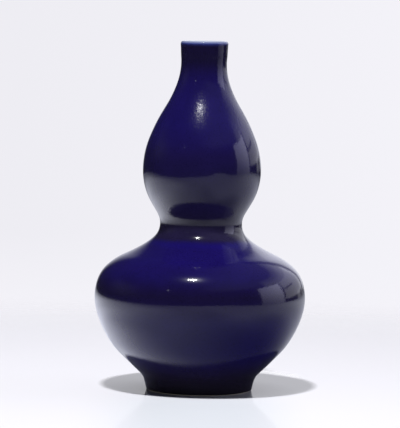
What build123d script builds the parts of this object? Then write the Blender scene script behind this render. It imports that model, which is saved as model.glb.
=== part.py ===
from build123d import *
import os
from collections import namedtuple
from math import acos, atan2, ceil, cos, degrees, radians, sin, sqrt

# Double gourd vase in fired porcelain. Six clay sections, thrown and turned one by one, are luted with slip
# at the foot, at both widest lines, at the waist and at the root of the neck. A coat of cobalt-blue glaze
# covers the outside, and clear glaze the lip, the hollow and the base inside the foot ring.
# The vase stands on Z = 0, round the Z axis. Lengths are in millimetres and leans in degrees.

# Heights of the glazed outside, each counted from the one before
foot_height = 7.1
lower_belly_rise = 50.6
waist_rise = 46.9
upper_belly_rise = 33.8
throat_rise = 68.0
mouth_rise = 13.6

# Radii of the glazed outside
foot_rim_radius = 33.4
foot_top_radius = 34.85
lower_belly_radius = 66.4
waist_radius = 25.75
upper_belly_radius = 37.15
throat_radius = 14.3
lip_radius = 15.1
lip_lean = 2.0

# Glazes, and the bare or clear bands where each one stops
blue_thickness = 0.45
clear_thickness = 0.3
bare_foot_band = 1.0
clear_lip_band = 1.8

# Clay walls, thinnest at the lip and thickest at the waist and floor
lip_wall = 2.3
throat_wall = 2.6
breast_wall = 2.8
upper_belly_wall = 3.4
cup_wall = 3.8
waist_wall = 4.4
shoulder_wall = 3.8
lower_belly_wall = 3.6
bowl_wall = 4.2
floor_thickness = 5.4
floor_radius = 25.0

# The bore is straight where the potter's finger ran up the throat, and flares to the mouth in a cone
bore_length = 13.0

# Foot ring
resting_width = 3.6
foot_bevel = 0.7
well_taper = 1.3

# Luting slip
slip_thickness = 0.8
foot_seam_rise = 1.4
neck_seam_drop = 16.4
bead_radius = 1.8
bead_rise = 1.0
bead_sides = 6

# Marks of the making, as the most that they stand off the smooth outline: the flats that the turning tool
# leaves on the clay under the glaze, and the bands that the fingers leave in the hollow
tool_mark_depth = 0.12
finger_mark_depth = 0.4

# Where the outline bends between two named rings, as shares of the step in radius and in height from the
# lower ring to the upper one. The last share is the slope there over the mean slope of that stretch.
heel_shares = (0.095, 0.081, 1.82)
bowl_shares = (0.873, 0.680, 0.714)
lower_shoulder_shares = (0.190, 0.440, 1.29)
shoulder_shares = (0.744, 0.721, 1.93)
cup_shares = (0.523, 0.410, 1.76)
breast_shares = (0.615, 0.600, 1.69)
lip_crest_share = 0.45

# One overrun for every cut past the outline
overrun = 5.0

# A ring of the vase: its radius, its height, and how far the outline leans outwards as it passes
Ring = namedtuple("Ring", "radius height lean")
upwards, outwards, downwards, inwards = 0, 90, 180, -90


def between(low, high, shares):
    """The ring at these shares of the way from one ring up to another."""
    radius_share, height_share, slope_share = shares
    step_out, step_up = high.radius - low.radius, high.height - low.height
    return Ring(
        low.radius + radius_share * step_out,
        low.height + height_share * step_up,
        degrees(atan2(slope_share * step_out, step_up)),
    )


def inside(ring, depth):
    """The ring as far under the outline as depth, square to it."""
    lean = radians(ring.lean)
    return Ring(ring.radius - depth * cos(lean), ring.height + depth * sin(lean), ring.lean)


def arcs(rings):
    """Two tangent arcs from each ring to the next, so that the whole outline is smooth.

    The arcs meet midway between the ends of two equal tangents, one drawn forwards from the first ring and
    one backwards from the second, long enough for the line between their ends to be as long as both.
    """
    edges = []
    for first, last in zip(rings, rings[1:]):
        start, end = Vector(first.radius, first.height), Vector(last.radius, last.height)
        leaving = Vector(sin(radians(first.lean)), cos(radians(first.lean)))
        arriving = Vector(sin(radians(last.lean)), cos(radians(last.lean)))
        chord, both = end - start, leaving + arriving
        bend = 2 * (1 - leaving.dot(arriving))
        across = chord.dot(both)
        reach = chord.dot(chord) / (across + sqrt(across**2 + bend * chord.dot(chord)))
        meeting = (start + end + (leaving - arriving) * reach) / 2
        first_arc = TangentArc(start, meeting, tangent=leaving)
        edges += [first_arc, TangentArc(meeting, end, tangent=first_arc % 1)]
    return edges


def flats(rings, mark_depth):
    """The same outline as a tool or finger leaves it: straight flats whose ends lie on the arcs.

    The middle of a flat is at most mark_depth off its arc, so flats are short where the outline bends fast.
    """
    corners = []
    for arc in arcs(rings):
        widest_turn = 2 * acos(1 - mark_depth / arc.radius)
        count = ceil(arc.length / arc.radius / widest_turn)
        corners += [arc @ (i / count) for i in range(count)]
    return Polyline(*corners, point(rings[-1]))


def point(ring):
    return (ring.radius, ring.height)


def turned(face):
    """The solid that a half section makes when it is turned round the vase's axis."""
    return revolve(Plane.XZ * face, Axis.Z)


# Rings of the glazed outside, from the foot up
overall_height = foot_height + lower_belly_rise + waist_rise + upper_belly_rise + throat_rise + mouth_rise
foot_lean = degrees(atan2(foot_top_radius - foot_rim_radius, foot_height - bare_foot_band))
foot_rim = Ring(foot_rim_radius, bare_foot_band, foot_lean)
foot_top = Ring(foot_top_radius, foot_height, foot_lean)
lower_belly = Ring(lower_belly_radius, foot_height + lower_belly_rise, upwards)
waist = Ring(waist_radius, lower_belly.height + waist_rise, upwards)
upper_belly = Ring(upper_belly_radius, waist.height + upper_belly_rise, upwards)
throat = Ring(throat_radius, upper_belly.height + throat_rise, upwards)
lip = Ring(lip_radius, overall_height - clear_lip_band, lip_lean)
heel = between(foot_top, lower_belly, heel_shares)
bowl = between(foot_top, lower_belly, bowl_shares)
lower_shoulder = between(lower_belly, waist, lower_shoulder_shares)
shoulder = between(lower_belly, waist, shoulder_shares)
cup = between(waist, upper_belly, cup_shares)
breast = between(upper_belly, throat, breast_shares)
outside = [
    foot_top, heel, bowl, lower_belly, lower_shoulder, shoulder,
    waist, cup, upper_belly, breast, throat, lip,
]

# The clay under the blue coat, then over the lip and down the flare of the mouth
clay_outside = [inside(ring, blue_thickness) for ring in outside]
clay_foot_rim = inside(foot_rim, blue_thickness)
clay_foot_top, clay_lip = clay_outside[0], clay_outside[-1]
bore_radius = throat_radius - blue_thickness - throat_wall
crest = Ring(clay_lip.radius - lip_crest_share * lip_wall, overall_height - clear_thickness, inwards)
bore_top_height, bore_bottom_height = throat.height + bore_length / 2, throat.height - bore_length / 2
flare_out, flare_up = clay_lip.radius - lip_wall - bore_radius, lip.height - bore_top_height
flare_lean = downwards + degrees(atan2(flare_out, flare_up))
lip_inside = Ring(bore_radius + flare_out, lip.height, flare_lean)
clay_roll = [clay_lip, crest, lip_inside]

# The hollow, from the floor up to the bore
foot_seam = foot_height + foot_seam_rise
well_height = foot_seam + slip_thickness / 2
floor = Ring(floor_radius, well_height + floor_thickness, outwards)
bore_bottom = Ring(bore_radius, bore_bottom_height, upwards)
walls = [
    (bowl, bowl_wall),
    (lower_belly, lower_belly_wall),
    (lower_shoulder, shoulder_wall),
    (shoulder, shoulder_wall),
    (waist, waist_wall),
    (cup, cup_wall),
    (upper_belly, upper_belly_wall),
    (breast, breast_wall),
]
hollow = [inside(ring, blue_thickness + wall) for ring, wall in walls]
hollow_outline = flats([floor, *hollow, bore_bottom], finger_mark_depth)

# The foot ring's outline under the glaze
rest_outer = clay_foot_rim.radius - foot_bevel
rest_inner = rest_outer - resting_width
well_foot = (rest_inner - foot_bevel, bare_foot_band)
well_corner = (well_foot[0] - well_taper, well_height)
ceiling_middle, floor_middle = (0, well_height), (0, floor.height)

# Half section of all the clay, with no seams yet, and of the hollow as far up as the bore goes
clay_outline = flats(clay_outside, tool_mark_depth)
roll_outline = flats(clay_roll, tool_mark_depth)
clay = make_face([
    Polyline((rest_outer, 0), point(clay_foot_rim), point(clay_foot_top)),
    clay_outline,
    roll_outline,
    Polyline(point(lip_inside), (bore_radius, bore_top_height), point(bore_bottom)),
    hollow_outline,
    Polyline(point(floor), floor_middle, ceiling_middle, well_corner, well_foot),
    Polyline(well_foot, (rest_inner, 0), (rest_outer, 0)),
])
hollow_space = make_face([
    hollow_outline,
    Polyline(
        point(bore_bottom),
        (bore_radius, bore_top_height),
        (0, bore_top_height),
        floor_middle,
        point(floor),
    ),
])


def slab(low, high):
    """A flat band across half the vase, from one height to another."""
    width = lower_belly_radius + overrun
    return Pos(width / 2, (low + high) / 2) * Rectangle(width, high - low)


# Seams between the sections, each at the middle of its web of slip
seams = {
    "foot": foot_seam,
    "lower_belly": lower_belly.height,
    "waist": waist.height,
    "upper_belly": upper_belly.height,
    "neck": throat.height - neck_seam_drop,
}
section_names = [
    "foot_ring", "lower_bulb_base", "lower_bulb_shoulder", "upper_bulb_base", "upper_bulb_shoulder", "neck",
]
parts = {}

# Clay sections, from one web of slip to the next
undersides = [-overrun] + [height + slip_thickness / 2 for height in seams.values()]
tops = [height - slip_thickness / 2 for height in seams.values()] + [overall_height + overrun]
for name, underside, top in zip(section_names, undersides, tops):
    parts[name] = turned(clay & slab(underside, top))

# Luting slip: a web right across the wall, and inside the body a bead that the joint pressed out.
# The foot's web has none, because its two faces are wiped flush.
slips = {}
for name, height in seams.items():
    web = clay & slab(height - slip_thickness / 2, height + slip_thickness / 2)
    if name != "foot":
        wall_face = web.bounding_box().min.X
        bead = Pos(wall_face - bead_rise + bead_radius, height) * RegularPolygon(bead_radius, bead_sides)
        web += bead & hollow_space
    slips[name] = web
    parts[f"{name}_luting_slip"] = turned(web)

# Blue glaze, an even coat square to the clay, cut off level at the foot and at the lip line
parts["blue_glaze_coat"] = turned(
    make_face([
        Line(point(foot_rim), point(foot_top)),
        *arcs(outside),
        Line(point(lip), point(clay_lip)),
        clay_outline,
        Polyline(point(clay_foot_top), point(clay_foot_rim), point(foot_rim)),
    ])
)

# Clear glaze, one skin from the lip line over the lip, down the bore and all over the hollow, beads too
clear_roll = [inside(ring, -clear_thickness) for ring in clay_roll]
clear_bore_radius = bore_radius - clear_thickness
mouth_skin = make_face([
    roll_outline,
    Polyline(
        point(lip_inside),
        (bore_radius, bore_top_height),
        (bore_radius, throat.height),
        (clear_bore_radius, throat.height),
        (clear_bore_radius, bore_top_height),
        point(clear_roll[-1]),
    ),
    *arcs(clear_roll),
    Line(point(clear_roll[0]), point(clay_lip)),
])
bare_hollow = hollow_space - list(slips.values())
whole_hollow = bare_hollow + mirror(bare_hollow, about=Plane.YZ)
glazed_hollow = offset(whole_hollow, amount=-clear_thickness, kind=Kind.INTERSECTION)
hollow_skin = (bare_hollow - glazed_hollow) & slab(0, throat.height)
parts["clear_glaze_lining"] = turned(mouth_skin + hollow_skin)

# Clear glaze on the base inside the foot ring
glazed_height = well_height - clear_thickness
parts["foot_well_glaze"] = turned(
    make_face(
        Polyline(
            well_foot,
            well_corner,
            ceiling_middle,
            (0, glazed_height),
            (well_corner[0] - clear_thickness, glazed_height),
            (well_foot[0] - clear_thickness, bare_foot_band),
            well_foot,
        )
    )
)

os.makedirs("parts", exist_ok=True)
for name, part in parts.items():
    export_step(part, f"parts/{name}.step")

# Sizes that the record quotes
print("overall height", overall_height, "widest", 2 * lower_belly_radius)
print("glazed bore radius", clear_bore_radius, "from", bore_bottom_height, "to", bore_top_height)
print("resting ring from", rest_inner, "to", rest_outer)
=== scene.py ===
import math

import bpy
import numpy as np
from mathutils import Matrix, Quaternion, Vector


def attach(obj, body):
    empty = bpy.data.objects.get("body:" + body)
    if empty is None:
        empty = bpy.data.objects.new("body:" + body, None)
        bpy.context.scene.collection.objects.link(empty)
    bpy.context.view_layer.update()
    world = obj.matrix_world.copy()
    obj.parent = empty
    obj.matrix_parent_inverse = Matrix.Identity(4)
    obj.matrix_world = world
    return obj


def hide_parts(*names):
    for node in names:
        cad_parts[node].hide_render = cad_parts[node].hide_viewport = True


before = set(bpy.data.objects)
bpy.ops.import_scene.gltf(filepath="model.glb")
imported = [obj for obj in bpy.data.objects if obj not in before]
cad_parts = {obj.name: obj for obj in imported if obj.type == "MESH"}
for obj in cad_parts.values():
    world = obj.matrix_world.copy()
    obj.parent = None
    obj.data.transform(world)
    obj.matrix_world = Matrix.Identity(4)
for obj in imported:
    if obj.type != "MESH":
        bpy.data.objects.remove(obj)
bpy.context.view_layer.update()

# Cobalt-blue glaze coat
# One coat of cobalt-blue glaze covers the whole outside of the porcelain body. It was blown on as a
# wet powder and melted in the kiln to a glassy skin half a millimetre thick, with a rolled edge at the
# foot and at the lip. The wall under it was turned by hand, so it is never quite round.

mm = 0.001
# Heights of the widest line of the lower bulb, the waist, the widest line of the upper bulb, the root of
# the neck and the crest of the lip
lower_belly, waist, upper_belly, neck_root = 57.7 * mm, 104.6 * mm, 138.4 * mm, 190.0 * mm
crest_height = 220.0 * mm
coat_thickness = 0.4 * mm
coat_rings = dict(widest=1.5 * mm, turn=math.radians(3.5))
coat_segments = 320
outline_step, coat_easing = 0.1 * mm, 1.5 * mm


def node_outline(name, side):
    """Radius and height of every ring of points on one side of a turned CAD node, from the bottom up.

    A triangle belongs to the outer side (1) if its normal points away from the axis, and to the inner
    side (-1) if it points towards it. Level triangles are left out. Of points closer than a twentieth of
    a millimetre in height, one is kept.
    """
    least_steepness, least_gap = 0.1, 0.05 * mm
    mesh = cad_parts[name].data
    mesh.calc_loop_triangles()
    corners = np.empty(3 * len(mesh.loop_triangles), np.int32)
    mesh.loop_triangles.foreach_get("vertices", corners)
    places = np.empty(3 * len(mesh.vertices), np.float32)
    mesh.vertices.foreach_get("co", places)
    triangles = places.reshape(-1, 3)[corners.reshape(-1, 3)].astype(float)
    normals = np.cross(triangles[:, 1] - triangles[:, 0], triangles[:, 2] - triangles[:, 0])
    middles = triangles.mean(axis=1)[:, :2]
    away = (normals[:, :2] * middles).sum(axis=1)
    steepness = away / np.linalg.norm(middles, axis=1) / np.linalg.norm(normals, axis=1)
    chosen = triangles[side * steepness > least_steepness].reshape(-1, 3)
    rings = np.c_[np.hypot(chosen[:, 0], chosen[:, 1]), chosen[:, 2]]
    rings = rings[np.argsort(rings[:, 1])]
    return rings[np.r_[True, np.diff(rings[:, 1]) > least_gap]]


def curve_through(points, step):
    """The smooth curve through the points, as new points about one step apart.

    It is a cubic spline over the distance from point to point: its second derivative runs straight
    from each point's value to the next one's, and is zero at both ends.
    """
    along = np.r_[0, np.cumsum(np.hypot(*np.diff(points, axis=0).T))]
    gaps = np.diff(along)
    slopes = np.diff(points, axis=0) / gaps[:, None]
    matrix = np.diag(2 * (gaps[:-1] + gaps[1:])) + np.diag(gaps[1:-1], 1) + np.diag(gaps[1:-1], -1)
    bends = np.zeros_like(points)
    bends[1:-1] = np.linalg.solve(matrix, 6 * np.diff(slopes, axis=0))
    places = np.linspace(0, along[-1], math.ceil(along[-1] / step))
    start = np.clip(np.searchsorted(along, places, side="right") - 1, 0, len(gaps) - 1)
    gone, gap = (places - along[start])[:, None], gaps[start][:, None]
    first, last = bends[start], bends[start + 1]
    return (
        points[start]
        + gone * (slopes[start] - gap * (2 * first + last) / 6)
        + gone**2 * first / 2
        + gone**3 * (last - first) / (6 * gap)
    )


def softened(points, spread):
    """The outline with its bends eased: every point becomes the mean of its neighbours.

    The weights fall off as a bell curve of that spread. Past each end the outline goes on as its own
    mirror image through the end point, so both ends stay where they are.
    """
    step = np.hypot(*(points[1:] - points[:-1]).T).mean()
    reach = math.ceil(3 * spread / step)
    bell = np.exp(-0.5 * (np.arange(-reach, reach + 1) * step / spread) ** 2)
    before = 2 * points[0] - points[reach:0:-1]
    after = 2 * points[-1] - points[-2 : -reach - 2 : -1]
    longer = np.vstack([before, points, after])
    return np.stack([np.convolve(longer[:, axis], bell / bell.sum(), "valid") for axis in (0, 1)], axis=1)


def respaced(points, widest, turn):
    """The outline as fewer points, closest together where it bends most.

    The points per metre are the root of the sum of two squares: one over the widest gap, and the
    curvature over the turn that one gap may make.
    """
    steps = np.diff(points, axis=0)
    lengths = np.hypot(*steps.T)
    directions = np.unwrap(np.arctan2(steps[:, 0], steps[:, 1]))
    curvature = np.abs(np.gradient(directions)) / lengths
    counted = np.r_[0, np.cumsum(lengths * np.hypot(1 / widest, curvature / turn))]
    wanted = np.linspace(0, counted[-1], math.ceil(counted[-1]) + 1)
    return np.stack([np.interp(wanted, counted, points[:, axis]) for axis in (0, 1)], axis=1)


def beside(points, distance):
    """The same outline moved sideways, to the left of its direction, square to it at every point."""
    along = np.gradient(points, axis=0)
    along /= np.hypot(*along.T)[:, None]
    return points + distance * np.stack([-along[:, 1], along[:, 0]], axis=1)


def turned_piece(name, radii, heights, poles=False):
    """A closed skin round the Z axis, from arrays of rings by segments.

    The point of ring i and segment j is at radius times the cosine and sine of its turn, j shares of
    a full circle, and at its height, moved sideways by the drift of the axis there. The last ring joins
    the first, or with poles both are closed by a fan round a point on the axis. The faces point to the
    right of the way that the rings go.
    """
    rings, segments = radii.shape
    turns = np.arange(segments) * 2 * math.pi / segments
    across = radii * np.cos(turns) + axis_drift(heights)
    points = np.stack([across, radii * np.sin(turns), heights], axis=2).reshape(-1, 3)
    index = np.arange(rings * segments).reshape(rings, segments)
    following = np.roll(index, -1, axis=0)
    lower, upper = (index[:-1], index[1:]) if poles else (index, following)
    quads = np.stack([lower, np.roll(lower, -1, 1), np.roll(upper, -1, 1), upper], axis=2)
    faces = quads.reshape(-1, 4).tolist()
    if poles:
        ends = np.array([heights[0].mean(), heights[-1].mean()])
        points = np.vstack([points, np.c_[axis_drift(ends), 0 * ends, ends]])
        first, last = len(points) - 2, len(points) - 1
        start = np.stack([np.full(segments, first), np.roll(index[0], -1), index[0]], axis=1)
        end = np.stack([np.full(segments, last), index[-1], np.roll(index[-1], -1)], axis=1)
        faces += start.tolist() + end.tolist()
    mesh = bpy.data.meshes.new(name)
    mesh.from_pydata(points.tolist(), [], faces)
    mesh.shade_smooth()
    piece = bpy.data.objects.new(name, mesh)
    bpy.context.scene.collection.objects.link(piece)
    return piece


def smooth_step(low, high, values):
    """0 below low, 1 above high, and three squares less two cubes of the share between."""
    share = np.clip((values - low) / (high - low), 0, 1)
    return share**2 * (3 - 2 * share)


def unevenness(turns, heights):
    """How far the hand-turned wall falls short of the true circle, as a share from 0 to 1.

    It is a half plus half a sum of cosine waves. Each goes round the wall a whole number of times and
    climbs it at its own pace. They die out towards the neck, which was trued last.
    """
    # Each wave: how many there are round the wall, their climb, their phase and their weight
    waves = [
        (2, 210 * mm, 0.4, 0.30),
        (3, 130 * mm, 2.1, 0.22),
        (5, 62 * mm, 4.0, 0.16),
        (7, 47 * mm, 1.0, 0.12),
        (4, -38 * mm, 5.2, 0.20),
    ]
    total = sum(
        weight * np.cos(count * turns + 2 * math.pi * heights / climb + phase)
        for count, climb, phase, weight in waves
    )
    trued = smooth_step(neck_root + 10 * mm, neck_root - 40 * mm, heights)
    return 0.5 + 0.5 * total * trued


def tool_tilt(heights):
    """How far the turning tool left each ring off the drawn outline, in metres.

    Near some heights the tool leaned a little: the height past it times a slope, under a bell curve of
    its own width. At others it left the wall up to 0.35 mm fuller, also under a bell curve.
    """
    # Each tilt: its height, its slope and the width of its bell curve
    tilts = [
        (22 * mm, 0.10, 8 * mm),
        (lower_belly, 0.026, 9 * mm),
        (waist + 0.3 * mm, -0.045, 4.5 * mm),
        (upper_belly, 0.006, 8 * mm),
        (178 * mm, -0.035, 12 * mm),
        (213.5 * mm, -0.05, 4 * mm),
    ]
    # Each fuller place: its height, how much it adds to the radius and the width of its bell curve
    fuller = [
        (162 * mm, 0.35 * mm, 17 * mm),
        (15 * mm, 0.35 * mm, 9 * mm),
        (196 * mm, 0.15 * mm, 20 * mm),
    ]
    total = 0
    for line, slope, width in tilts:
        total = total + slope * (heights - line) * np.exp(-(((heights - line) / width) ** 2))
    for line, extra, width in fuller:
        total = total + extra * np.exp(-(((heights - line) / width) ** 2))
    return total


def lean(turns, heights):
    """How far the wall leans in and out in soft waves across the widest line of each bulb, in metres.

    Each wave is the height past its line times a slope, under a bell curve over the height and another
    over the turn from the front. They make the table's mirrored edge wander.
    """
    # Each wave: its line, its width in height, the degrees from the front to its middle, counted to the
    # right, its breadth in degrees and its slope
    waves = [
        (upper_belly, 8 * mm, -64, 14, 0.014),
        (upper_belly, 8 * mm, -26, 24, -0.054),
        (upper_belly, 8 * mm, 17, 8, 0.040),
        (upper_belly, 8 * mm, 50, 13, 0.028),
        (lower_belly, 9 * mm, -30, 15, -0.014),
        (lower_belly, 9 * mm, 10, 14, 0.017),
    ]
    total = 0
    for line, width, side, breadth, slope in waves:
        past = heights - line
        turn = np.angle(np.exp(1j * (turns + math.radians(90 - side))))
        total = total + slope * past * np.exp(-((past / width) ** 2) - (turn / math.radians(breadth)) ** 2)
    return total


def axis_drift(heights):
    """How far the middle of the vase lies to the right of the axis, in metres.

    The foot and the neck were luted on a little to the right. It is that drift times the sum of two soft
    steps, one from 1 down to 0 above the foot and one from 0 up to 1 along the neck.
    """
    drift = 0.30 * mm
    foot_share = smooth_step(26 * mm, 14 * mm, heights)
    neck_share = smooth_step(188 * mm, 216 * mm, heights)
    return drift * (foot_share + neck_share)


outer = softened(curve_through(node_outline("blue_glaze_coat", 1), outline_step), coat_easing)
outer = respaced(outer, **coat_rings)
# The hidden back of the coat needs only every fourth ring
inner = beside(outer, coat_thickness)[::-4]
# The rolled edges: radius and height of each ring
foot_edge = np.array([(32.62, 0.62), (32.72, 0.42), (32.95, 0.33), (33.20, 0.45), (33.34, 0.72)]) * mm
lip_edge = np.array([(15.08, 218.46), (14.99, 218.54), (14.86, 218.50)]) * mm
coat = np.vstack([foot_edge, outer[1:], lip_edge, inner[1:-1]])
turns = np.arange(coat_segments) * 2 * math.pi / coat_segments
out_of_round = 0.06 * mm
coat_radii = coat[:, :1] + tool_tilt(coat[:, 1:]) + lean(turns, coat[:, 1:])
coat_radii -= out_of_round * unevenness(turns, coat[:, 1:])
# How many millimetres the glaze's two edges wander up and down
lip_line = 0.10 * np.cos(turns - 0.6) + 0.05 * np.cos(3 * turns + 1.9) + 0.03 * np.cos(7 * turns)
foot_line = 0.10 * np.cos(2 * turns + 0.5) + 0.08 * np.cos(5 * turns + 2.2)
coat_heights = (
    coat[:, 1:]
    + mm * lip_line * smooth_step(214 * mm, 218 * mm, coat[:, 1:])
    + mm * foot_line * smooth_step(4 * mm, 1 * mm, coat[:, 1:])
)
blue_coat = turned_piece("blue_glaze", coat_radii, coat_heights)


def linear(code):
    """A hex colour in sRGB as linear red, green, blue and an alpha of 1.

    A channel up to 0.04045 is divided by 12.92; one above it has 0.055 added, is divided by 1.055 and
    raised to the power 2.4.
    """
    channels = np.array([int(code[place : place + 2], 16) for place in (1, 3, 5)]) / 255
    dark, light = channels / 12.92, ((channels + 0.055) / 1.055) ** 2.4
    return (*np.where(channels > 0.04045, light, dark).tolist(), 1.0)


def node(tree, kind, inputs=(), **settings):
    """Adds a shader node: its settings by name, and to each input a value or another node's output."""
    made = tree.nodes.new("ShaderNode" + kind)
    for name, value in settings.items():
        setattr(made, name, value)
    for name, value in dict(inputs).items():
        if isinstance(value, bpy.types.NodeSocket):
            tree.links.new(value, made.inputs[name])
        else:
            made.inputs[name].default_value = value
    return made


# A colour Mix node's sockets by number: its factor, its two colours and its result
FACTOR, FIRST, SECOND, RESULT = 0, 6, 7, 2

# Cobalt glaze: cobalt oxide in a lime-alkali glass over white porcelain. The eye sees a deep violet-blue
# under a hard wet gloss with a faint orange peel, and fine dark specks show where the cobalt didn't melt
# out.
# Its colour steps up the vase hold painted shade: near black and greyish at the foot, which stands in its
# own shadow, and darker along the widest line of each bulb. Just under the waist it is darker, and from the
# waist up into the underside of the upper bulb it is greyer, a painted reflection of the lower bulb's
# shoulder.
cloud_size, speck_size, peel_size, curd_size = 14 * mm, 0.9 * mm, 1.1 * mm, 1.6 * mm
peel_depth, curds_to_peel, longest_run = 0.028 * mm, 3.6, 0.5 * mm
# Height in millimetres and colour there, from the foot up, with the painted shade and reflection in it
glaze_tones_and_painted_shade = [
    (0, "#322e3c"),
    (11, "#29233f"),
    (26, "#1b1456"),
    (48, "#1c145b"),
    (58, "#1e164b"),
    (64, "#1d163f"),
    (68, "#1c1446"),
    (72, "#1b134f"),
    (76, "#1a1255"),
    (80, "#1a1156"),
    (85, "#1a115c"),
    (91, "#1a115a"),
    (93.4, "#1a1163"),
    (94.8, "#1b135c"),
    (96.6, "#201a3c"),
    (104, "#2b2548"),
    (110, "#2e284a"),
    (125, "#241e4f"),
    (149, "#1f174e"),
    (157, "#1d1555"),
    (168, "#1c145b"),
    (188, "#1c1459"),
    (198, "#1d1556"),
    (207, "#1f1843"),
    (217.2, "#1e1740"),
    (218.6, "#39418c"),
]
glaze = bpy.data.materials.new("cobalt_blue_glaze")
glaze.use_nodes = True
tree = glaze.node_tree
shader = tree.nodes["Principled BSDF"]
place = node(tree, "TexCoord").outputs["Object"]
height = node(tree, "SeparateXYZ", {"Vector": place}).outputs["Z"]
clouds = node(tree, "TexNoise", {"Vector": place, "Scale": 1 / cloud_size, "Detail": 3.0}).outputs["Fac"]
specks = node(tree, "TexNoise", {"Vector": place, "Scale": 1 / speck_size, "Detail": 1.0}).outputs["Fac"]
# The colour's steps run up and down a little with the clouds
run = node(
    tree,
    "MapRange",
    {"Value": clouds, "From Min": 0.3, "From Max": 0.7, "To Min": -longest_run, "To Max": longest_run},
)
run_height = node(tree, "Math", {0: height, 1: run.outputs["Result"]}, operation="ADD")
share = node(tree, "Math", {0: run_height.outputs[0], 1: crest_height}, operation="DIVIDE")
# The ramp by height paints shade at the foot and along the widest lines, and a greyer reflection under the
# waist
tones = node(tree, "ValToRGB", {"Fac": share.outputs[0]})
stops = tones.color_ramp.elements
while len(stops) < len(glaze_tones_and_painted_shade):
    stops.new(0.5)
for stop, (tone_height, tone) in zip(stops, glaze_tones_and_painted_shade):
    stop.position, stop.color = tone_height * mm / crest_height, linear(tone)
speckled = node(
    tree,
    "MapRange",
    {"Value": specks, "From Min": 0.58, "From Max": 0.72, "To Min": 1.0, "To Max": 0.72},
)
cloudy = node(
    tree,
    "MapRange",
    {"Value": clouds, "From Min": 0.35, "From Max": 0.65, "To Min": 0.93, "To Max": 1.06},
)
depth = node(tree, "Math", {0: speckled.outputs[0], 1: cloudy.outputs[0]}, operation="MULTIPLY")
blue = node(tree, "VectorMath", {0: tones.outputs["Color"], "Scale": depth.outputs[0]}, operation="SCALE")
tree.links.new(blue.outputs["Vector"], shader.inputs["Base Color"])
wet = node(
    tree,
    "MapRange",
    {"Value": clouds, "From Min": 0.3, "From Max": 0.7, "To Min": 0.03, "To Max": 0.06},
)
# The glaze of the upper bulb's breast didn't quite melt smooth, which gives it a soft mottled sheen.
# Its curds are drawn out downwards.
breast_up = node(
    tree,
    "MapRange",
    {"Value": height, "From Min": 157 * mm, "From Max": 170 * mm},
    interpolation_type="SMOOTHSTEP",
)
breast_down = node(
    tree,
    "MapRange",
    {"Value": height, "From Min": 199 * mm, "From Max": 186 * mm},
    interpolation_type="SMOOTHSTEP",
)
breast = node(tree, "Math", {0: breast_up.outputs[0], 1: breast_down.outputs[0]}, operation="MULTIPLY")
satin = node(
    tree,
    "MapRange",
    {"Value": specks, "From Min": 0.3, "From Max": 0.7, "To Min": 0.08, "To Max": 0.20},
)
gloss = node(
    tree,
    "Math",
    {0: breast.outputs[0], 1: satin.outputs[0], 2: wet.outputs[0]},
    operation="MULTIPLY_ADD",
)
tree.links.new(gloss.outputs[0], shader.inputs["Roughness"])
peel = node(tree, "TexNoise", {"Vector": place, "Scale": 1 / peel_size, "Detail": 1.0}).outputs["Fac"]
drawn_out = node(tree, "VectorMath", {0: place, 1: (1.0, 1.0, 0.4)}, operation="MULTIPLY").outputs["Vector"]
curds = node(tree, "TexNoise", {"Vector": drawn_out, "Scale": 1 / curd_size, "Detail": 1.0}).outputs["Fac"]
curdled = node(tree, "Math", {0: curds, 1: breast.outputs[0]}, operation="MULTIPLY")
relief = node(tree, "Math", {0: curdled.outputs[0], 1: curds_to_peel, 2: peel}, operation="MULTIPLY_ADD")
ripple = node(tree, "Bump", {"Height": relief.outputs[0], "Strength": 1.0, "Distance": peel_depth})
tree.links.new(ripple.outputs["Normal"], shader.inputs["Normal"])
shader.inputs["IOR"].default_value = 1.5
shader.inputs["Coat Weight"].default_value = 0.3
shader.inputs["Coat Roughness"].default_value = 0.2
shader.inputs["Coat IOR"].default_value = 1.5
blue_coat.data.materials.append(glaze)
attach(blue_coat, "root")
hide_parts("blue_glaze_coat")

# Clear glaze over the lip and down the inside
# The lip was wiped clean of blue and dipped in clear glaze, which runs on down the bore and was
# swilled round the hollow. Its surface follows the bands that the thrower's fingers left in the wall
# and the soft beads of slip at the four joints.

lining_segments = 200
lining_easing, lining_rings = 1.2 * mm, dict(widest=1.6 * mm, turn=math.radians(5))
lining_thickness = 0.26 * mm
seam_heights = np.array([lower_belly, waist, upper_belly, neck_root])
bead_rise, bead_half_width, bead_gap = 1.3 * mm, 1.9 * mm, 3.2 * mm
crest_radius, lip_height = 13.615 * mm, 218.2 * mm
lip_outer, lip_inner = 14.95 * mm, 12.05 * mm
bore_radius, bore_top, bore_bottom = 10.95 * mm, 212.9 * mm, 199.9 * mm
# The height below which the wall is taken from the CAD lining
walls_top = bore_bottom - 0.5 * mm
floor_height, wall_starts = 14.6 * mm, 5 * mm
# How near to the axis a piece goes before it is closed by a pole
pole_gap = 0.5 * mm


def bend_over(from_angle, to_angle, across, up):
    """A quarter of an ellipse about the middle of the lip: across times the cosine, up times the sine."""
    points = 24
    angles = np.linspace(from_angle, to_angle, points)
    return np.stack([crest_radius + across * np.cos(angles), lip_height + up * np.sin(angles)], axis=1)


def evenly(points, step):
    """Points about one step apart along the straight lines from point to point."""
    along = np.r_[0, np.cumsum(np.hypot(*np.diff(points, axis=0).T))]
    places = np.linspace(0, along[-1], math.ceil(along[-1] / step))
    return np.stack([np.interp(places, along, points[:, axis]) for axis in (0, 1)], axis=1)


rise = crest_height - lip_height
lip_outside = bend_over(0, math.pi / 2, lip_outer - crest_radius, rise)
lip_inside = bend_over(math.pi / 2, 0, lip_inner - crest_radius, rise)
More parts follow.
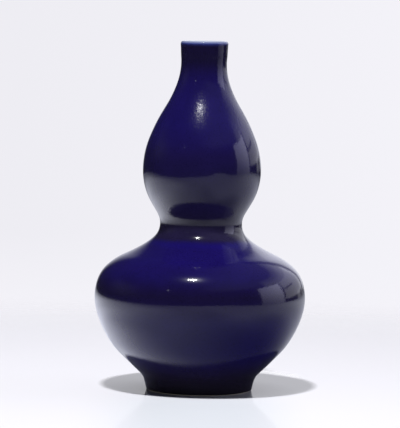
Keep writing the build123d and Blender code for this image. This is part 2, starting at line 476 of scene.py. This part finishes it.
# Radius and height of the lining's first two rings, under the edge of the blue
hidden_start = np.array([(14.70, 217.3), (14.88, 217.8)]) * mm
walls = node_outline("clear_glaze_lining", -1)
near_bead = (np.abs(walls[:, 1:] - seam_heights) < bead_gap).any(axis=1)
walls = walls[(walls[:, 1] < walls_top) & ~near_bead][::-1]
throat = np.array([(bore_radius, bore_top), (bore_radius, bore_bottom)])
chamber = np.vstack([throat, walls, [(walls[-1, 0], floor_height), (pole_gap, floor_height)]])
chamber = softened(evenly(np.vstack([lip_inside[-1:], chamber]), outline_step), lining_easing)
past_seam = (chamber[:, 1:] - seam_heights) / bead_half_width
beads = bead_rise * np.exp(-(past_seam**4)).sum(axis=1)
chamber[:, 0] -= beads * (chamber[:, 0] > wall_starts)
lip = evenly(np.vstack([hidden_start, lip_outside, lip_inside[1:]]), outline_step)
lining_face = respaced(np.vstack([lip, chamber[1:]]), **lining_rings)
# The hidden back of the lining needs only every third ring
lining_back = beside(lining_face, lining_thickness)[::-3]
lining = np.vstack([lining_back, lining_face])
lining_radii = lining[:, :1] + np.zeros(lining_segments)
lining_heights = lining[:, 1:] + np.zeros(lining_segments)
clear_lining = turned_piece("clear_glaze_inside", lining_radii, lining_heights, poles=True)

# Clear glaze: a lime glass with a trace of iron over white porcelain. The eye sees a cool bluish
# white with a wet gloss. On the outside of the lip it is darker and bluer, the lower the more: partly
# cobalt that ran in, and partly painted shade where the lip faces the dark room.
milk_size, swirl_size, swirl_depth = 9 * mm, 2.5 * mm, 0.03 * mm
clear = bpy.data.materials.new("clear_porcelain_glaze")
clear.use_nodes = True
tree = clear.node_tree
shader = tree.nodes["Principled BSDF"]
place = node(tree, "TexCoord").outputs["Object"]
height = node(tree, "SeparateXYZ", {"Vector": place}).outputs["Z"]
milk = node(tree, "TexNoise", {"Vector": place, "Scale": 1 / milk_size, "Detail": 2.0}).outputs["Fac"]
milky = node(
    tree,
    "Mix",
    {FACTOR: milk, FIRST: linear("#d3dae6"), SECOND: linear("#dfe4ec")},
    data_type="RGBA",
)
# Blue that ran in, with painted shade, over the outside of the lip only: more the lower, and not inside the
# bore or the vase
tinged_and_shaded = node(
    tree,
    "MapRange",
    {"Value": height, "From Min": 219.9 * mm, "From Max": 218.3 * mm, "To Min": 0.55, "To Max": 1.0},
)
from_axis = node(tree, "VectorMath", {0: place, 1: (1.0, 1.0, 0.0)}, operation="MULTIPLY").outputs["Vector"]
from_axis = node(tree, "VectorMath", {0: from_axis}, operation="LENGTH").outputs["Value"]
outside = node(tree, "MapRange", {"Value": from_axis, "From Min": 12.6 * mm, "From Max": 13.8 * mm})
tinged_and_shaded = node(tree, "Math", {0: tinged_and_shaded.outputs[0], 1: outside.outputs[0]}, operation="MULTIPLY")
at_lip = node(tree, "MapRange", {"Value": height, "From Min": 215 * mm, "From Max": 216 * mm})
tinged_and_shaded = node(tree, "Math", {0: tinged_and_shaded.outputs[0], 1: at_lip.outputs[0]}, operation="MULTIPLY")
# The outside of the lip is mixed towards dark blue: partly cobalt that ran in, partly painted shade
stained_and_shaded = node(
    tree,
    "Mix",
    {FACTOR: tinged_and_shaded.outputs[0], FIRST: milky.outputs[RESULT], SECOND: linear("#2c3f90")},
    data_type="RGBA",
)
tree.links.new(stained_and_shaded.outputs[RESULT], shader.inputs["Base Color"])
swirl = node(tree, "TexNoise", {"Vector": place, "Scale": 1 / swirl_size, "Detail": 1.0}).outputs["Fac"]
ripple = node(tree, "Bump", {"Height": swirl, "Strength": 1.0, "Distance": swirl_depth})
tree.links.new(ripple.outputs["Normal"], shader.inputs["Normal"])
shader.inputs["Roughness"].default_value = 0.08
shader.inputs["IOR"].default_value = 1.5
clear_lining.data.materials.append(clear)
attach(clear_lining, "root")
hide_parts("clear_glaze_lining")

# Foot ring
# A turned ring of bare porcelain that the vase stands on. Its resting face was wiped clean of glaze and
# sat on kiln sand, so its edges are softened, it is finely gritty, and it flashed warm beside the glaze.

foot_segments = 256
foot_step, foot_easing, foot_rings = 0.05 * mm, 0.22 * mm, dict(widest=0.9 * mm, turn=math.radians(9))
# Radius and height of each corner, from the outer edge of the resting face round to its inner edge
foot_outline = np.array([
    (32.25, 0.0),
    (32.95, 1.0),
    (34.40, 7.1),
    (34.85, 8.1),
    (24.95, 8.1),
    (24.95, 7.2),
    (27.96, 1.0),
    (28.65, 0.0),
]) * mm
# The outline starts and ends in the middle of the resting face, away from every corner
rest_middle = (foot_outline[0] + foot_outline[-1]) / 2
foot_points = evenly(np.vstack([rest_middle, foot_outline, rest_middle]), foot_step)
foot_points = respaced(softened(foot_points, foot_easing), **foot_rings)[:-1]
foot_radii = foot_points[:, :1] + np.zeros(foot_segments)
foot_heights = foot_points[:, 1:] + np.zeros(foot_segments)
foot = turned_piece("biscuit_foot_ring", foot_radii, foot_heights)

# Biscuit: unglazed porcelain fired hard. The eye sees a dry, fine-grained off-white, a little
# orange where the glaze stops, with specks of kiln sand. The real grain is too fine to show, so it is
# drawn half a millimetre wide.
grain_size, patch_size, grain_depth = 0.5 * mm, 8 * mm, 0.06 * mm
biscuit = bpy.data.materials.new("porcelain_biscuit")
biscuit.use_nodes = True
tree = biscuit.node_tree
shader = tree.nodes["Principled BSDF"]
place = node(tree, "TexCoord").outputs["Object"]
height = node(tree, "SeparateXYZ", {"Vector": place}).outputs["Z"]
grain = node(tree, "TexNoise", {"Vector": place, "Scale": 1 / grain_size, "Detail": 3.0}).outputs["Fac"]
patches = node(tree, "TexNoise", {"Vector": place, "Scale": 1 / patch_size, "Detail": 2.0}).outputs["Fac"]
clay = node(
    tree,
    "Mix",
    {FACTOR: patches, FIRST: linear("#d9d2c4"), SECOND: linear("#e6e1d6")},
    data_type="RGBA",
)
flashed = node(
    tree,
    "MapRange",
    {"Value": height, "From Min": 0.3 * mm, "From Max": 1.0 * mm, "To Max": 0.55},
    interpolation_type="SMOOTHSTEP",
)
warm = node(
    tree,
    "Mix",
    {FACTOR: flashed.outputs[0], FIRST: clay.outputs[RESULT], SECOND: linear("#b98a5e")},
    data_type="RGBA",
)
sandy = node(tree, "MapRange", {"Value": grain, "From Min": 0.62, "From Max": 0.7, "To Max": 0.5})
gritty = node(
    tree,
    "Mix",
    {FACTOR: sandy.outputs[0], FIRST: warm.outputs[RESULT], SECOND: linear("#8c8274")},
    data_type="RGBA",
)
tree.links.new(gritty.outputs[RESULT], shader.inputs["Base Color"])
rough = node(tree, "Bump", {"Height": grain, "Strength": 1.0, "Distance": grain_depth})
tree.links.new(rough.outputs["Normal"], shader.inputs["Normal"])
shader.inputs["Roughness"].default_value = 0.75
foot.data.materials.append(biscuit)
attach(foot, "root")
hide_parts("foot_ring")

# Clear glaze on the base
# Inside the foot ring the base is coated with the same clear glaze, poured in and out again, so it
# fills the corner of the well in a soft curve and stops in a fine line at the resting face.

well_easing, well_rings = 0.8 * mm, dict(widest=1.5 * mm, turn=math.radians(6))
# Radius and height of the face that shows, from the ring in to the axis, and of the hidden back
well_outline = np.array([(27.62, 1.0), (25.3, 5.6), (24.1, 7.6), (22.0, 8.55), (0.5, 8.6)]) * mm
well_back = np.array([(0.5, 8.88), (24.5, 8.88), (26.25, 4.4), (27.9, 0.98)]) * mm
well_face = softened(evenly(well_outline, outline_step), well_easing)
well_points = np.vstack([well_back, respaced(well_face, **well_rings)])[::-1]
well_radii = well_points[:, :1] + np.zeros(foot_segments)
well_heights = well_points[:, 1:] + np.zeros(foot_segments)
well = turned_piece("well_glaze", well_radii, well_heights, poles=True)
well.data.materials.append(clear)
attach(well, "root")
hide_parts("foot_well_glaze")

# Porcelain sections under the glaze
# The five sections of the body above the foot ring were thrown and turned one by one from white
# porcelain clay. The glazes hide them, and they show only where the vase is taken apart.

for name in ["lower_bulb_base", "lower_bulb_shoulder", "upper_bulb_base", "upper_bulb_shoulder", "neck"]:
    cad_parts[name].data.materials.clear()
    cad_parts[name].data.materials.append(biscuit)

# Luting slip
# The same clay let down with water to a cream, brushed on both faces of each joint and pressed out
# of it. It fires whiter and finer than the thrown clay.

stroke_size, stroke_depth = 3 * mm, 0.05 * mm
slip = bpy.data.materials.new("porcelain_slip")
slip.use_nodes = True
tree = slip.node_tree
shader = tree.nodes["Principled BSDF"]
place = node(tree, "TexCoord").outputs["Object"]
strokes = node(tree, "TexNoise", {"Vector": place, "Scale": 1 / stroke_size, "Detail": 2.0}).outputs["Fac"]
cream = node(
    tree,
    "Mix",
    {FACTOR: strokes, FIRST: linear("#e9e4d8"), SECOND: linear("#f0ece3")},
    data_type="RGBA",
)
tree.links.new(cream.outputs[RESULT], shader.inputs["Base Color"])
brushed = node(tree, "Bump", {"Height": strokes, "Strength": 1.0, "Distance": stroke_depth})
tree.links.new(brushed.outputs["Normal"], shader.inputs["Normal"])
shader.inputs["Roughness"].default_value = 0.65
for name in ["foot", "lower_belly", "waist", "upper_belly", "neck"]:
    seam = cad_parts[f"{name}_luting_slip"]
    seam.data.materials.clear()
    seam.data.materials.append(slip)

# Table
# A white acrylic table top under the vase. It keeps the vase's shadow, and mirrors the foot where the
# shadow lies. Past the edge of the light it fades into the backdrop.

table_radius, table_back, table_corners = 1.35, 0.27, 128
table = bpy.data.meshes.new("table_top")
rim = np.arange(table_corners) * 2 * math.pi / table_corners
rim_across, rim_back = table_radius * np.cos(rim), table_back + table_radius * np.sin(rim)
rim_points = np.stack([rim_across, rim_back, 0 * rim], axis=1)
table.from_pydata(rim_points.tolist(), [], [list(range(table_corners))])
table_top = bpy.data.objects.new("table_top", table)
bpy.context.scene.collection.objects.link(table_top)


def eased(tree, *ramps):
    """The product of ramps: as its value goes from start to end, each eases from first to last."""
    product = 1.0
    for value, start, end, first, last in ramps:
        ends = {"Value": value, "From Min": start, "From Max": end, "To Min": first, "To Max": last}
        slope = node(tree, "MapRange", ends, interpolation_type="SMOOTHSTEP").outputs[0]
        product = node(tree, "Math", {0: slope, 1: product}, operation="MULTIPLY").outputs[0]
    return product


# White acrylic: cast sheet, polished. The eye sees a clean white, with a greyer, cooler patch in front of
# the vase that is a painted reflection of the vase, and the foot mirrored in it where the vase's round
# shadow takes the light away.
# The heel middle is the middle of the upper bulb's shadow behind the foot, which is painted over with light
shadow_middle, heel_shadow_middle, least_shine = (0.006, 0.026, 0), (0.0146, 0.062, 0), 0.08
acrylic = bpy.data.materials.new("white_acrylic")
acrylic.use_nodes = True
tree = acrylic.node_tree
tree.nodes.remove(tree.nodes["Principled BSDF"])
place = node(tree, "TexCoord").outputs["Object"]
ray = node(tree, "LightPath")
away = node(tree, "VectorMath", {0: place}, operation="LENGTH").outputs["Value"]
from_shadow = node(tree, "VectorMath", {0: place, 1: shadow_middle}, operation="DISTANCE").outputs["Value"]
from_heel = node(tree, "VectorMath", {0: place, 1: heel_shadow_middle}, operation="DISTANCE").outputs["Value"]
spread = node(tree, "SeparateXYZ", {"Vector": place}).outputs
# A greyer, cooler patch in front of the vase: a painted reflection of the vase in the table
painted_vase_reflection = eased(
    tree,
    (spread["X"], -0.075, -0.02, 0, 1),
    (spread["X"], 0.07, 0.02, 0, 1),
    (spread["Y"], 0.02, -0.08, 0, 1),
)
paint = node(
    tree,
    "Mix",
    {FACTOR: painted_vase_reflection, FIRST: linear("#f6f5fb"), SECOND: linear("#e9edf4")},
    data_type="RGBA",
)
white = node(tree, "BsdfDiffuse", {"Color": paint.outputs[RESULT]})
# The mirror dims close to the foot: painted contact shade
polish_and_contact_shade = node(
    tree,
    "MapRange",
    {"Value": away, "From Min": 0.028, "From Max": 0.064, "To Min": 0.69, "To Max": 0.95},
)
polish_and_contact_shade = node(tree, "VectorMath", {0: (1.0, 0.99, 0.94), "Scale": polish_and_contact_shade.outputs[0]}, operation="SCALE")
gloss = node(tree, "BsdfGlossy", {"Color": polish_and_contact_shade.outputs["Vector"], "Roughness": 0.06})
# Behind the foot the table mirrors more of the backdrop, painting light over the upper bulb's shadow there
painted_light_over_heel_shadow = eased(tree, (from_heel, 0.056, 0.046, 0, 0.8))
shine = eased(tree, (from_shadow, 0.0665, 0.073, 0.42, painted_light_over_heel_shadow))
shine = node(tree, "Math", {0: shine, 1: least_shine}, operation="MAXIMUM")
seen = node(tree, "MixShader", {0: shine.outputs[0], 1: white.outputs[0], 2: gloss.outputs[0]})
fade = eased(tree, (away, 0.25, 0.6, 0, 1))
open_air = node(tree, "BsdfTransparent")
to_camera = node(tree, "MixShader", {0: fade, 1: seen.outputs[0], 2: open_air.outputs[0]})

# What the glaze mirrors of the table: an even light that stops at the front edge, and soft oval pools
# of more or less light on it. Each pool: its middle, its half widths and what it adds at the middle
pools = {
    "back left": ((-0.25, 0.15), (0.27, 0.60), 0.46),
    "in front": ((0.04, -0.09), (0.09, 0.36), -0.12),
    "beside the vase, left": ((-0.17, 0.08), (0.16, 0.22), 0.58),
    "towards the camera": ((-0.96, -2.16), (2.99, 2.86), -0.31),
    "beside the vase, right": ((0.09, -0.03), (0.19, 0.12), -0.31),
    "back right": ((0.64, 0.38), (0.79, 0.74), 0.33),
    "round the foot": ((-0.06, 0.03), (0.10, 0.11), 1.10),
    "far left": ((-0.49, 0.32), (0.63, 0.85), 1.00),
    "far right": ((1.09, 0.46), (1.62, 1.08), 0.31),
    "behind the foot": ((-0.05, 0.06), (0.09, 0.09), -1.00),
}
level = 0.42
for (middle_x, middle_y), (half_x, half_y), extra in pools.values():
    scales, shift = (1 / half_x, 1 / half_y, 0), (-middle_x / half_x, -middle_y / half_y, 0)
    oval = node(tree, "VectorMath", {0: place, 1: scales, 2: shift}, operation="MULTIPLY_ADD")
    oval = node(tree, "VectorMath", {0: oval.outputs["Vector"]}, operation="LENGTH").outputs["Value"]
    pool = eased(tree, (oval, 1, 0, 0, extra))
    level = node(tree, "Math", {0: pool, 1: level}, operation="ADD").outputs[0]
edge = eased(tree, (spread["Y"], -1.08, -0.98, 0, 1))
level = node(tree, "Math", {0: level, 1: edge}, operation="MULTIPLY").outputs[0]
level = node(tree, "Math", {0: level, 1: 0.0}, operation="MAXIMUM").outputs[0]
tinted = node(tree, "VectorMath", {0: (0.955, 0.98, 1.10), "Scale": level}, operation="SCALE")
mirrored = node(tree, "BsdfDiffuse", {"Color": tinted.outputs["Vector"]})
dim = node(tree, "BsdfDiffuse", {"Color": linear("#b8b8c0")})
to_glaze = node(
    tree,
    "MixShader",
    {0: ray.outputs["Is Glossy Ray"], 1: dim.outputs[0], 2: mirrored.outputs[0]},
)
above = node(
    tree,
    "MixShader",
    {0: ray.outputs["Is Camera Ray"], 1: to_glaze.outputs[0], 2: to_camera.outputs[0]},
)
underneath = node(tree, "NewGeometry").outputs["Backfacing"]
whole = node(tree, "MixShader", {0: underneath, 1: above.outputs[0], 2: open_air.outputs[0]})
tree.links.new(whole.outputs[0], tree.nodes["Material Output"].inputs["Surface"])
table.materials.append(acrylic)

# Studio
# A white backdrop behind the vase and a tall window to its right, in a room that is dark towards
# the camera. The camera sees the plain backdrop wherever it looks.

# A bearing is counted in degrees from straight behind the vase, to the right as the camera sees it.
# Each panel: its two bearings, its two elevations, its radiance at the lowest and the highest, the share
# of it that is left at the far bearing, and how soft its sides and its level edges are.
panels = {
    "backdrop": ((-9, 24), (-3, 27.5), (1.0, 1.2), 1.0, (11, 1.5)),
    "wall": ((22, 73), (1.5, 27.5), (0.62, 0.92), 1.0, (3, 1.2)),
    "post": ((34, 44), (-4, 3), (0.35, 0.35), 1.0, (2, 1.5)),
    "valance": ((-9, 93), (27.5, 42), (0.80, 0.22), 0.6, (5, 1.5)),
    "window": ((73, 108), (-8, 27), (0.50, 1.80), 0.62, (1, 0.8)),
    "far_lamp": ((-142.3, -140.9), (27.1, 28.4), (3.5, 3.5), 1.0, (0.4, 0.4)),
    "far_room": ((-100, -66), (8, 26), (0.06, 0.06), 1.0, (16, 7)),
}
# Each bar keeps only a share of the light behind it: bearings, elevations, that share and its softness
bars = {
    "window_frame": ((70.2, 73.4), (0, 27), 0.10, 0.7),
    "shelf": ((48, 71), (13.2, 15.8), 0.30, 0.6),
    "stand": ((19.5, 24.5), (-6, 48), 0.25, 1.2),
}
world = bpy.data.worlds.new("studio")
bpy.context.scene.world = world
world.use_nodes = True
tree = world.node_tree
direction = node(tree, "TexCoord").outputs["Generated"]
parts = node(tree, "SeparateXYZ", {"Vector": direction})
bearing = node(tree, "Math", {0: parts.outputs["X"], 1: parts.outputs["Y"]}, operation="ARCTAN2")
bearing = node(tree, "Math", {0: bearing.outputs[0]}, operation="DEGREES").outputs[0]
elevation = node(tree, "Math", {0: parts.outputs["Z"]}, operation="ARCSINE")
elevation = node(tree, "Math", {0: elevation.outputs[0]}, operation="DEGREES").outputs[0]


def inside(bearings, elevations, softness):
    """The four ramps round a patch of the room, whose product is 1 inside it and 0 outside."""
    (left, right), (low, high), (side_half, level_half) = bearings, elevations, softness
    edges = [
        (bearing, left, side_half),
        (bearing, right, -side_half),
        (elevation, low, level_half),
        (elevation, high, -level_half),
    ]
    return [(value, edge - half, edge + half, 0, 1) for value, edge, half in edges]


# The room's own faint light, with a ceiling that the window lights a little
unlit = 0.018
ceiling = eased(tree, (parts.outputs["X"], -0.2, 0.5, 0, 1), (elevation, 26, 34, 0, 0.09))
total = node(tree, "Math", {0: ceiling, 1: unlit}, operation="ADD").outputs[0]
for bearings, elevations, (dimmer, brighter), far_share, softness in panels.values():
    fading = [(elevation, *elevations, dimmer, brighter), (bearing, *bearings, 1, far_share)]
    radiance = eased(tree, *fading, *inside(bearings, elevations, softness))
    total = node(tree, "Math", {0: total, 1: radiance}, operation="ADD").outputs[0]
for bearings, elevations, left_share, softness in bars.values():
    covered = eased(tree, *inside(bearings, elevations, (softness, softness)))
    kept = node(tree, "MapRange", {"Value": covered, "To Min": 1.0, "To Max": left_share}).outputs[0]
    total = node(tree, "Math", {0: total, 1: kept}, operation="MULTIPLY").outputs[0]
bearings, elevations, *_, softness = panels["window"]
at_window = eased(tree, *inside(bearings, elevations, softness))
daylight = node(
    tree,
    "Mix",
    {FACTOR: at_window, FIRST: (0.97, 0.98, 1.08, 1), SECOND: (0.92, 0.92, 1.18, 1)},
    data_type="RGBA",
)
room = node(tree, "Background", {"Color": daylight.outputs[RESULT], "Strength": total})
# The backdrop that the camera sees is a touch lighter on the right and low down
sideways = node(tree, "MapRange", {"Value": parts.outputs["X"], "From Min": -0.06, "From Max": 0.06})
lower = node(tree, "MapRange", {"Value": parts.outputs["Z"], "From Min": -0.080, "From Max": -0.105})
paper = node(
    tree,
    "Mix",
    {FACTOR: sideways.outputs[0], FIRST: linear("#eeedf3"), SECOND: linear("#f3f2f8")},
    data_type="RGBA",
)
paper = node(
    tree,
    "Mix",
    {FACTOR: lower.outputs[0], FIRST: paper.outputs[RESULT], SECOND: linear("#f4f3f9")},
    data_type="RGBA",
)
backdrop = node(tree, "Background", {"Color": paper.outputs[RESULT]})
ray = node(tree, "LightPath")
sky = node(tree, "MixShader", {0: ray.outputs["Is Camera Ray"], 1: room.outputs[0], 2: backdrop.outputs[0]})
tree.links.new(sky.outputs[0], tree.nodes["World Output"].inputs["Surface"])

# Lamps
# A small hard lamp, high up in front and a little to the left, gives the sharp highlights and the round
# shadow. The blue glaze takes less than half of its light, and the rest from almost straight above, so
# its colour deepens towards the widest line of each bulb. A small one under the foot shows its underside.

uncoloured = [table_top, clear_lining, foot, well, *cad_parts.values()]
# Each lamp: degrees to the right of the camera (less than 0 is to the left), elevation in degrees,
# distance from the middle of the vase, strength, what it lights (None is everything), whether it is seen
# in the gloss, and whether it casts shadows
lamps = {
    "front_lamp": (-13.5, 65.7, 2.5, 0.40, None, True, True),
    "front_lamp_rest": (-13.5, 65.7, 2.5, 0.67, uncoloured, False, True),
    "top_lamp": (-8.0, 80.8, 2.5, 0.68, [blue_coat], False, False),
    "under_lamp": (0.0, -90.0, 0.13, 0.065, [foot, well], False, False),
}
lamp_width_share, vase_middle = 0.088, Vector((0, 0, 0.1))
for name, (bearing_deg, elevation_deg, lamp_distance, strength, lit, glare, shadow) in lamps.items():
    bearing_angle, rise_angle = math.radians(bearing_deg), math.radians(elevation_deg)
    towards = Vector((
        math.sin(bearing_angle) * math.cos(rise_angle),
        -math.cos(bearing_angle) * math.cos(rise_angle),
        math.sin(rise_angle),
    ))
    light = bpy.data.lights.new(name, "AREA")
    light.shape = "DISK"
    light.size = lamp_width_share * lamp_distance
    # The energy grows with the distance squared, so a strength lights the vase the same from anywhere
    light.energy = strength * math.pi**2 * lamp_distance**2
    light.use_shadow = shadow
    lamp = bpy.data.objects.new(name, light)
    lamp.location = towards * lamp_distance + vase_middle
    lamp.rotation_mode = "QUATERNION"
    lamp.rotation_quaternion = towards.to_track_quat("Z", "Y")
    lamp.visible_glossy = glare
    bpy.context.scene.collection.objects.link(lamp)
    if lit:
        receivers = bpy.data.collections.new(f"lit_by_{name}")
        for piece in lit:
            receivers.objects.link(piece)
        lamp.light_linking.receiver_collection = receivers

# Camera
# Two metres in front of the vase with a long lens, a little above the lip, and turned one degree.

camera_place, aim, roll = Vector((0, -1.958, 0.2543)), Vector((-0.00077, 0, 0.1111)), math.radians(0.977)
camera = bpy.data.cameras.new("camera")
camera.lens, camera.sensor_width, camera.sensor_fit = 262.1, 36.0, "AUTO"
viewer = bpy.data.objects.new("camera", camera)
viewer.location = camera_place
viewer.rotation_mode = "QUATERNION"
level_view = (camera_place - aim).to_track_quat("Z", "Y")
viewer.rotation_quaternion = level_view @ Quaternion((0, 0, 1), roll)
bpy.context.scene.collection.objects.link(viewer)
bpy.context.scene.camera = viewer

bpy.context.scene.view_settings.view_transform = "Standard"
